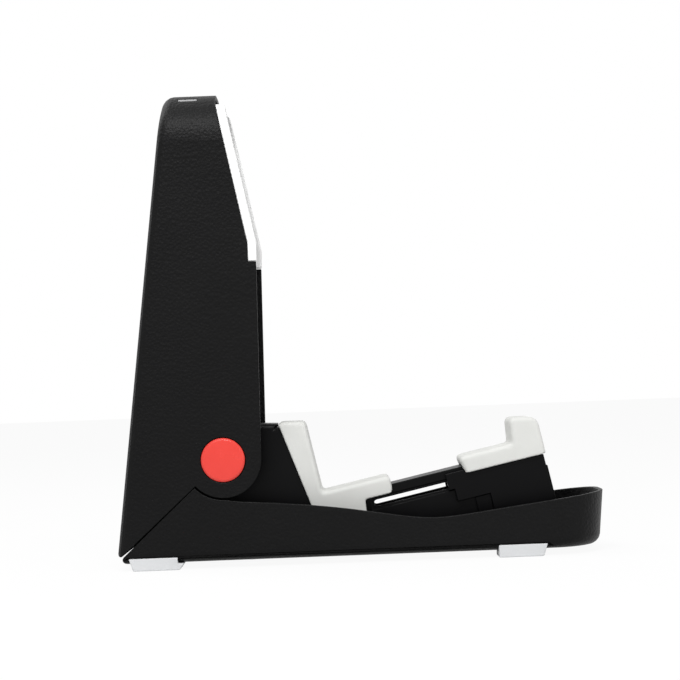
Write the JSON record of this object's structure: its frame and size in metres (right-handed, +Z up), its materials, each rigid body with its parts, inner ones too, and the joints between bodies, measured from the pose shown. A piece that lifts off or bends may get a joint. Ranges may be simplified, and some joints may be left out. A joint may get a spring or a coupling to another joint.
{
  "type": "folding instrument stand",
  "caption": "Folding stand for a stringed instrument: a hinged clamshell with a padded cradle, a padded back rest and a sliding hook.",
  "frame": {"origin": "centre of the footprint, on the floor", "axes": "+X from the hinge towards the nose, +Y to the far side in the picture, +Z up"},
  "size_m": [0.297, 0.0804, 0.2885],
  "materials": {
    "shell": "leather grain",
    "cradle": "smooth satin",
    "pad": "soft matte",
    "edge_strip": "soft matte",
    "foot": "soft matte",
    "disc": "gloss",
    "steel": "zinc plated",
    "nylon": "natural",
    "washer": "fibre"
  },
  "bodies": {
    "base": {"base_shell": "shell", "cradle_body": "cradle", "cradle_pad": "pad", "foot_rear_left": "foot", "foot_rear_right": "foot", "foot_front_left": "foot", "foot_front_right": "foot", "cradle_screw_1": "steel", "cradle_screw_2": "steel", "cradle_screw_3": "steel", "cradle_screw_4": "steel", "pivot_bush": "nylon", "spacer_left": "nylon", "spacer_right": "nylon"},
    "upright": {"upright_shell": "shell", "edge_pad_left": "edge_strip", "edge_pad_right": "edge_strip", "crown_plug_left": "edge_strip", "crown_plug_right": "edge_strip", "pivot_bolt": "steel", "pivot_nut": "steel", "friction_washer_left": "washer", "friction_washer_right": "washer", "pivot_cap_left": "disc", "pivot_cap_right": "disc"},
    "slider": {"slider_sleeve": "cradle", "hook_pad": "pad", "guide_pin_front": "steel", "guide_pin_rear": "steel"}
  },
  "joints": [
    {"name": "fold", "type": "hinge", "parent": "base", "child": "upright", "pos_m": [-0.0829, 0, 0.065], "axis": [0, 1, 0], "range_deg": [0, 93]},
    {"name": "slide", "type": "slide", "parent": "base", "child": "slider", "axis": [0.9785, 0, 0.2062], "range_m": [-0.042, 0]}
  ]
}
